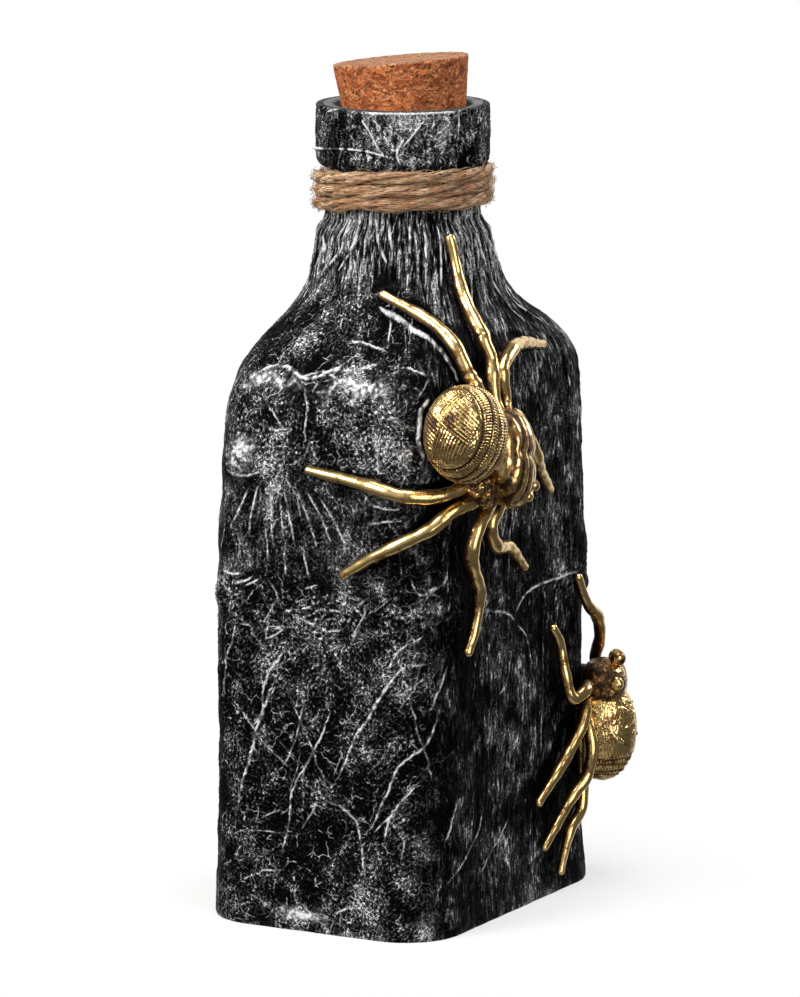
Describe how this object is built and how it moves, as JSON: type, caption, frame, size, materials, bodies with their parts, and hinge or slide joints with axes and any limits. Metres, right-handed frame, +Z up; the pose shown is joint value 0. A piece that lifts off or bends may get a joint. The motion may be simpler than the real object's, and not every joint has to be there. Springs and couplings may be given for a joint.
{
  "type": "decorative bottle",
  "caption": "Corked bottle of rounded rectangular section in crumpled black paper brushed with silver, twine wound on its neck and gilt spiders clinging to its sides.",
  "frame": {"origin": "middle of the flat base that the bottle stands on", "axes": "+Z up along the bottle's axis, +X out of the wide face that carries the spiders, -Y out of the narrow front face"},
  "size_m": [0.0802, 0.1036, 0.2081],
  "materials": {
    "dark_glass": "dark glass, painted grey on the rim",
    "painted_paper": "crumpled tissue glued down, painted satin black, ridges dry-brushed silver",
    "jute": "three-ply jute twine",
    "cork": "pressed cork granules, paler cut top",
    "gilt": "antique gold paint with a brown wash in the grooves"
  },
  "bodies": {
    "bottle": {"glass_bottle": "dark_glass", "body_paper": "painted_paper", "shoulder_paper": "painted_paper", "lip_paper": "painted_paper", "neck_twine": "jute", "upper_spider_abdomen": "gilt", "upper_spider_head": "gilt", "lower_spider_abdomen": "gilt", "lower_spider_head": "gilt", "upper_spider_left_leg_1": "gilt", "upper_spider_left_leg_2": "gilt", "upper_spider_left_leg_3": "gilt", "upper_spider_left_leg_4": "gilt", "upper_spider_right_leg_1": "gilt", "upper_spider_right_leg_2": "gilt", "upper_spider_right_leg_3": "gilt", "upper_spider_right_leg_4": "gilt", "lower_spider_left_leg_1": "gilt", "lower_spider_left_leg_2": "gilt", "lower_spider_left_leg_3": "gilt", "lower_spider_left_leg_4": "gilt", "lower_spider_right_leg_1": "gilt", "lower_spider_right_leg_2": "gilt", "lower_spider_right_leg_3": "gilt", "lower_spider_right_leg_4": "gilt"},
    "stopper": {"cork_stopper": "cork"}
  },
  "joints": [
    {"name": "cork_pull", "type": "slide", "parent": "bottle", "child": "stopper", "axis": [-0.0958, 0, 0.9954], "range_m": [0, 0.04]}
  ]
}
